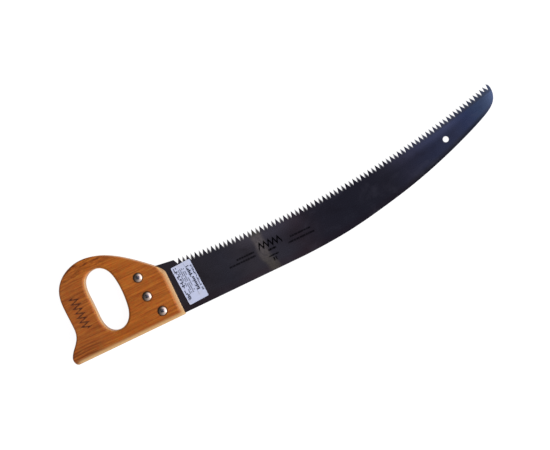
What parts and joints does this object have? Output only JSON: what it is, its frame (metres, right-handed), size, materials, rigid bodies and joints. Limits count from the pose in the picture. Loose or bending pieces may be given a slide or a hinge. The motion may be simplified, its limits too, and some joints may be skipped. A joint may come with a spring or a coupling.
{
  "type": "japanese pull saw",
  "caption": "Hand pull saw: long curved toothed blade let into a closed one-piece wooden grip and held by two-part saw bolts, with a hanging hole near the nose.",
  "frame": {"origin": "on the flat rear face of the grip, between the hand opening and the upper saw bolts", "axes": "+X along the blade from the grip towards the nose, +Y in the plane of the blade from its straight back towards the teeth, +Z out of the face with the screw heads; the saw lies flat"},
  "size_m": [0.6825, 0.1296, 0.0254],
  "materials": {
    "oiled_beech": "oiled red-brown beech, satin",
    "dark_spring_steel": "blue-black tempered spring steel, semi-gloss",
    "bright_zinc": "bright zinc-plated steel, polished domes",
    "label_paper": "thin matt stuck-on label, plain"
  },
  "bodies": {
    "saw": {"handle": "oiled_beech", "blade": "dark_spring_steel", "label": "label_paper"},
    "top_screw": {"screw_top": "bright_zinc"},
    "middle_screw": {"screw_middle": "bright_zinc"},
    "bottom_screw": {"screw_bottom": "bright_zinc"},
    "top_nut": {"sleeve_nut_top": "bright_zinc"},
    "middle_nut": {"sleeve_nut_middle": "bright_zinc"},
    "bottom_nut": {"sleeve_nut_bottom": "bright_zinc"}
  },
  "joints": [
    {"name": "screw_top_turn", "type": "hinge", "parent": "saw", "child": "top_screw", "pos_m": [0.0166, 0.022, 0.0213], "axis": [0, 0, 1], "range_deg": [0, 3240.5]},
    {"name": "nut_top_slide", "type": "slide", "parent": "saw", "child": "top_nut", "axis": [0, 0, -1], "range_m": [0, 0.0072]},
    {"name": "screw_middle_turn", "type": "hinge", "parent": "saw", "child": "middle_screw", "pos_m": [0.017, -0.0067, 0.0213], "axis": [0, 0, 1], "range_deg": [0, 3240.5]},
    {"name": "nut_middle_slide", "type": "slide", "parent": "saw", "child": "middle_nut", "axis": [0, 0, -1], "range_m": [0, 0.0072]},
    {"name": "screw_bottom_turn", "type": "hinge", "parent": "saw", "child": "bottom_screw", "pos_m": [0.0275, -0.0337, 0.0213], "axis": [0, 0, 1], "range_deg": [0, 3240.5]},
    {"name": "nut_bottom_slide", "type": "slide", "parent": "saw", "child": "bottom_nut", "axis": [0, 0, -1], "range_m": [0, 0.0072]}
  ],
  "couplings": [
    {"joint": "screw_top_turn", "follows": "nut_top_slide", "rad_per_m": 7854},
    {"joint": "screw_middle_turn", "follows": "nut_middle_slide", "rad_per_m": 7854},
    {"joint": "screw_bottom_turn", "follows": "nut_bottom_slide", "rad_per_m": 7854}
  ]
}
